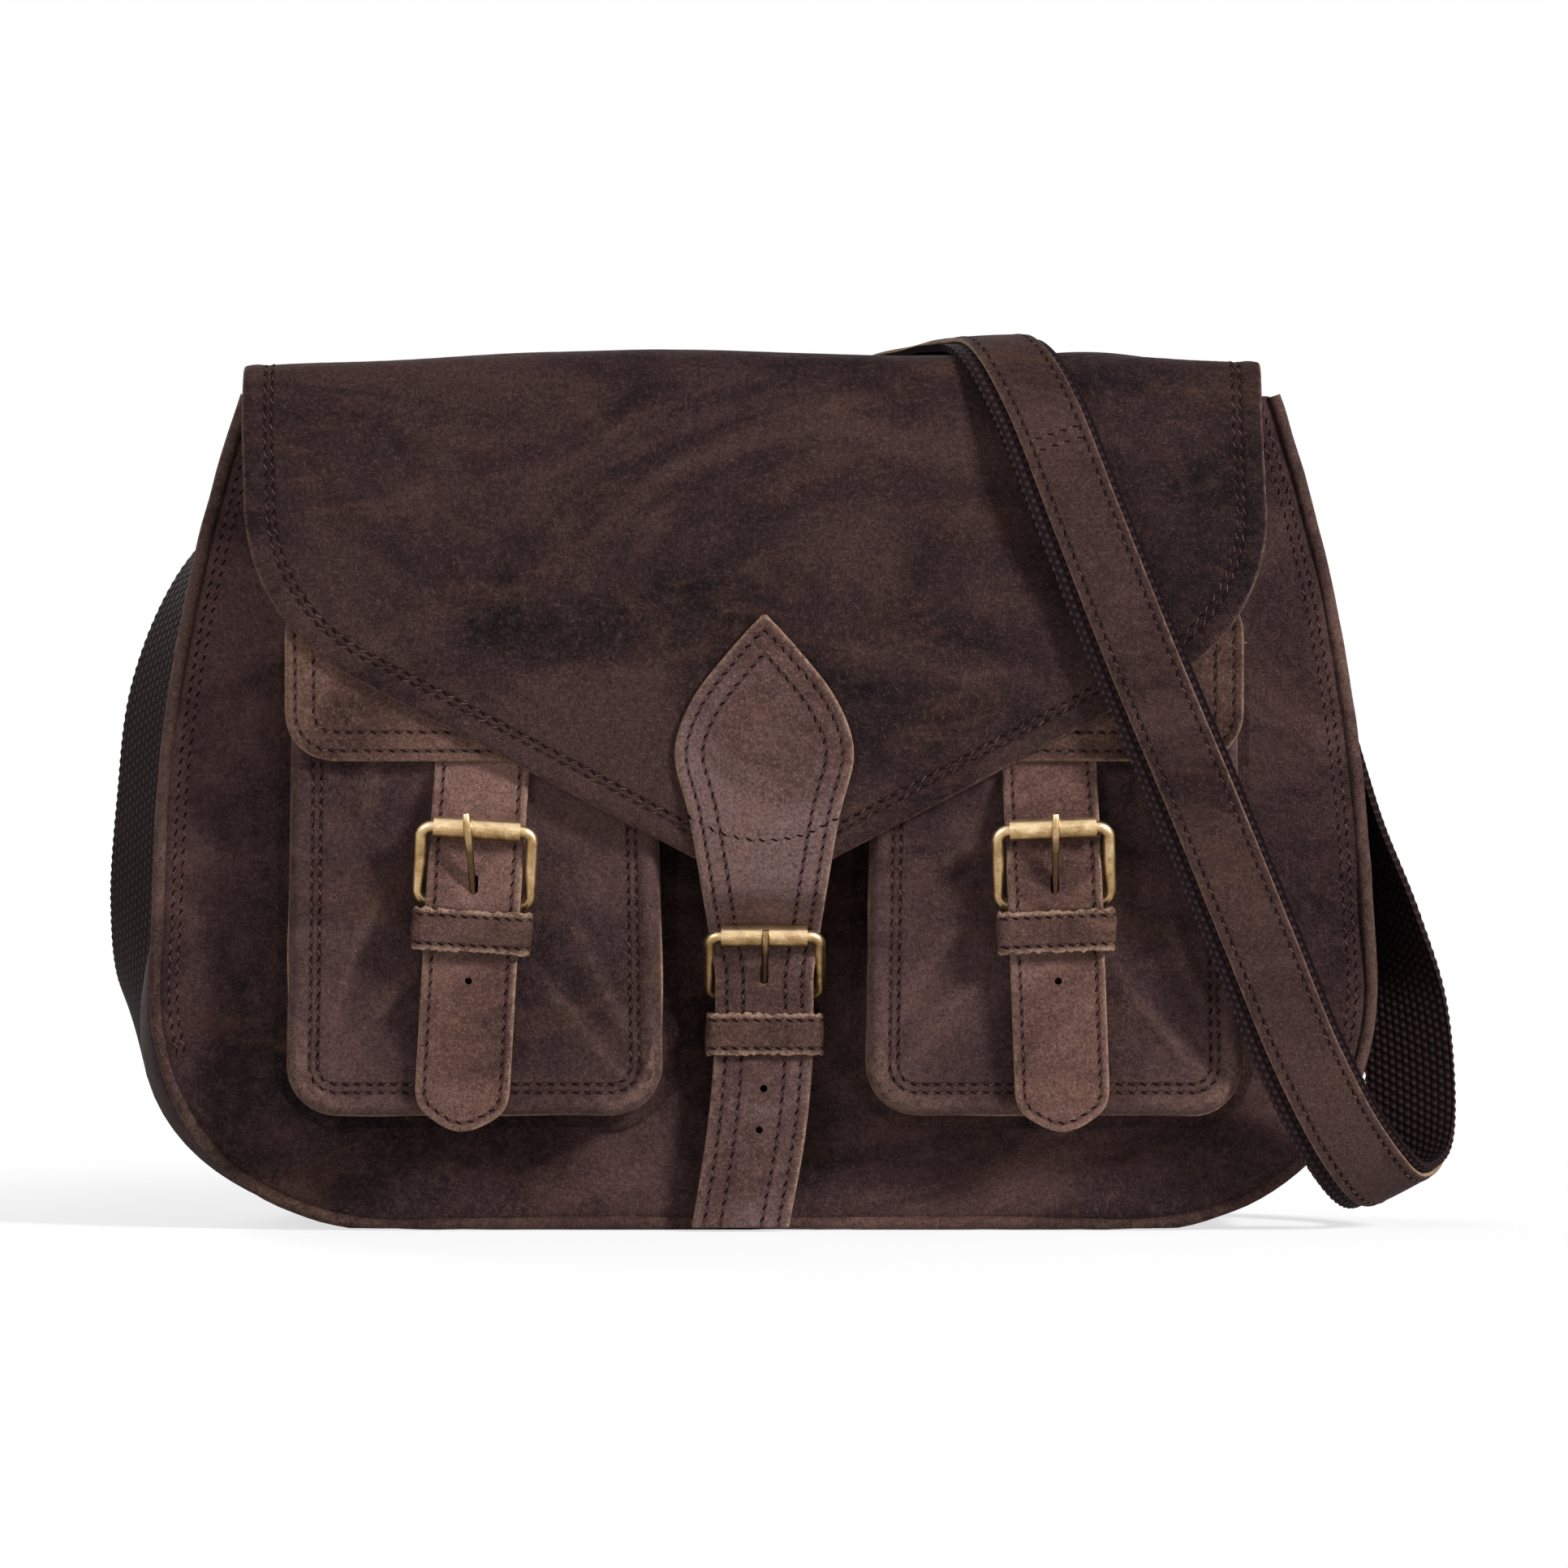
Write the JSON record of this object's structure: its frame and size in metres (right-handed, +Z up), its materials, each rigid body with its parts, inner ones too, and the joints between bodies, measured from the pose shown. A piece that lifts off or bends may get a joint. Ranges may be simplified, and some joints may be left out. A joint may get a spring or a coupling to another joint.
{
  "type": "saddle bag",
  "caption": "Leather shoulder bag with a saddle-shaped body, buckled pointed flap, buckled front pockets and a webbing shoulder strap overlaid with leather.",
  "frame": {"origin": "middle of the base, on the surface that the bag stands on", "axes": "+X to the right as seen from the front, +Y to the back, +Z up"},
  "size_m": [0.3945, 0.1521, 0.2636],
  "materials": {
    "body_leather": "distressed oiled leather, dark brown with lighter pull-up marks",
    "strap_leather": "thick oiled leather with raw cut edges",
    "piping_leather": "turned leather edge, worn lighter",
    "webbing": "heavy cotton webbing, very dark brown",
    "lining_cloth": "plain cotton canvas",
    "antique_brass": "brushed antique brass"
  },
  "bodies": {
    "root": {"back_panel": "body_leather", "back_piping": "piping_leather", "centre_chape": "strap_leather", "centre_keeper": "strap_leather", "flap_sewn_strip": "body_leather", "front_panel": "body_leather", "front_piping": "piping_leather", "front_top_hem": "body_leather", "gusset_bottom": "body_leather", "gusset_left": "body_leather", "gusset_right": "body_leather", "left_chape": "strap_leather", "left_keeper": "strap_leather", "left_pocket_front": "body_leather", "left_pocket_gusset": "body_leather", "left_pocket_piping": "piping_leather", "left_ring_tab": "strap_leather", "lining": "lining_cloth", "right_chape": "strap_leather", "right_keeper": "strap_leather", "right_pocket_front": "body_leather", "right_pocket_gusset": "body_leather", "right_pocket_piping": "piping_leather", "right_ring_tab": "strap_leather", "strap_back_leather": "strap_leather", "strap_back_webbing": "webbing", "strap_left": "webbing", "strap_right": "webbing"},
    "main_flap": {"main_flap": "body_leather", "closure_strap": "strap_leather"},
    "left_pocket_flap": {"left_pocket_flap": "body_leather", "left_pocket_strap": "strap_leather"},
    "right_pocket_flap": {"right_pocket_flap": "body_leather", "right_pocket_strap": "strap_leather"},
    "left_ring": {"left_ring": "antique_brass", "left_strap_end": "webbing"},
    "right_ring": {"right_ring": "antique_brass", "right_strap_end": "webbing"},
    "strap_front": {"strap_front_webbing": "webbing", "strap_front_leather": "strap_leather"},
    "centre_buckle": {"centre_buckle_frame": "antique_brass"},
    "centre_roller": {"centre_buckle_roller": "antique_brass"},
    "centre_prong": {"centre_buckle_prong": "antique_brass"},
    "left_buckle": {"left_buckle_frame": "antique_brass"},
    "left_roller": {"left_buckle_roller": "antique_brass"},
    "left_prong": {"left_buckle_prong": "antique_brass"},
    "right_buckle": {"right_buckle_frame": "antique_brass"},
    "right_roller": {"right_buckle_roller": "antique_brass"},
    "right_prong": {"right_buckle_prong": "antique_brass"}
  },
  "joints": [
    {"name": "main_flap_hinge", "type": "hinge", "parent": "root", "child": "main_flap", "pos_m": [0, 0.0463, 0.248], "axis": [-1, 0, 0], "range_deg": [0, 105], "deforming": ["closure_strap"]},
    {"name": "left_pocket_flap_hinge", "type": "hinge", "parent": "root", "child": "left_pocket_flap", "pos_m": [-0.084, -0.0461, 0.18], "axis": [-1, 0, 0], "range_deg": [0, 84], "deforming": ["left_pocket_strap"]},
    {"name": "right_pocket_flap_hinge", "type": "hinge", "parent": "root", "child": "right_pocket_flap", "pos_m": [0.084, -0.0461, 0.18], "axis": [-1, 0, 0], "range_deg": [0, 84], "deforming": ["right_pocket_strap"]},
    {"name": "strap_throw_back", "type": "slide", "parent": "root", "child": "strap_front", "axis": [0, 1, 0], "range_m": [0, 0.135], "deforming": ["strap_front_webbing", "strap_front_leather", "strap_back_webbing", "strap_back_leather"]},
    {"name": "centre_buckle_hinge", "type": "hinge", "parent": "root", "child": "centre_buckle", "pos_m": [0, -0.0488, 0.069], "axis": [1, 0, 0], "range_deg": [0, 30]},
    {"name": "centre_prong_hinge", "type": "hinge", "parent": "centre_buckle", "child": "centre_prong", "pos_m": [0, -0.0488, 0.069], "axis": [1, 0, 0], "range_deg": [0, 20]},
    {"name": "centre_roller_spin", "type": "hinge", "parent": "centre_buckle", "child": "centre_roller", "pos_m": [0, -0.06326, 0.08624], "axis": [1, 0, 0], "continuous": true},
    {"name": "left_buckle_hinge", "type": "hinge", "parent": "root", "child": "left_buckle", "pos_m": [-0.084, -0.0708, 0.096], "axis": [0.9981, 0, -0.061], "range_deg": [0, 30]},
    {"name": "left_prong_hinge", "type": "hinge", "parent": "left_buckle", "child": "left_prong", "pos_m": [-0.084, -0.0708, 0.096], "axis": [0.9981, 0, -0.061], "range_deg": [0, 20]},
    {"name": "left_roller_spin", "type": "hinge", "parent": "left_buckle", "child": "left_roller", "pos_m": [-0.08269, -0.07757, 0.11742], "axis": [0.9981, 0, -0.061], "continuous": true},
    {"name": "right_buckle_hinge", "type": "hinge", "parent": "root", "child": "right_buckle", "pos_m": [0.084, -0.0708, 0.096], "axis": [0.9992, 0, 0.0393], "range_deg": [0, 30]},
    {"name": "right_prong_hinge", "type": "hinge", "parent": "right_buckle", "child": "right_prong", "pos_m": [0.084, -0.0708, 0.096], "axis": [0.9992, 0, 0.0393], "range_deg": [0, 20]},
    {"name": "right_roller_spin", "type": "hinge", "parent": "right_buckle", "child": "right_roller", "pos_m": [0.08316, -0.07757, 0.11744], "axis": [0.9992, 0, 0.0393], "continuous": true},
    {"name": "left_ring_swing", "type": "hinge", "parent": "root", "child": "left_ring", "pos_m": [-0.14255, 0, 0.23479], "axis": [0, 1, 0], "range_deg": [0, 30], "deforming": ["strap_left"]},
    {"name": "right_ring_swing", "type": "hinge", "parent": "root", "child": "right_ring", "pos_m": [0.14255, 0, 0.23479], "axis": [0, -1, 0], "range_deg": [0, 30], "deforming": ["strap_right"]}
  ],
  "couplings": [
    {"joint": "left_pocket_flap_hinge", "follows": "main_flap_hinge", "ratio": 0.8},
    {"joint": "right_pocket_flap_hinge", "follows": "main_flap_hinge", "ratio": 0.8},
    {"joint": "strap_throw_back", "follows": "main_flap_hinge", "m_per_rad": 0.0736}
  ]
}
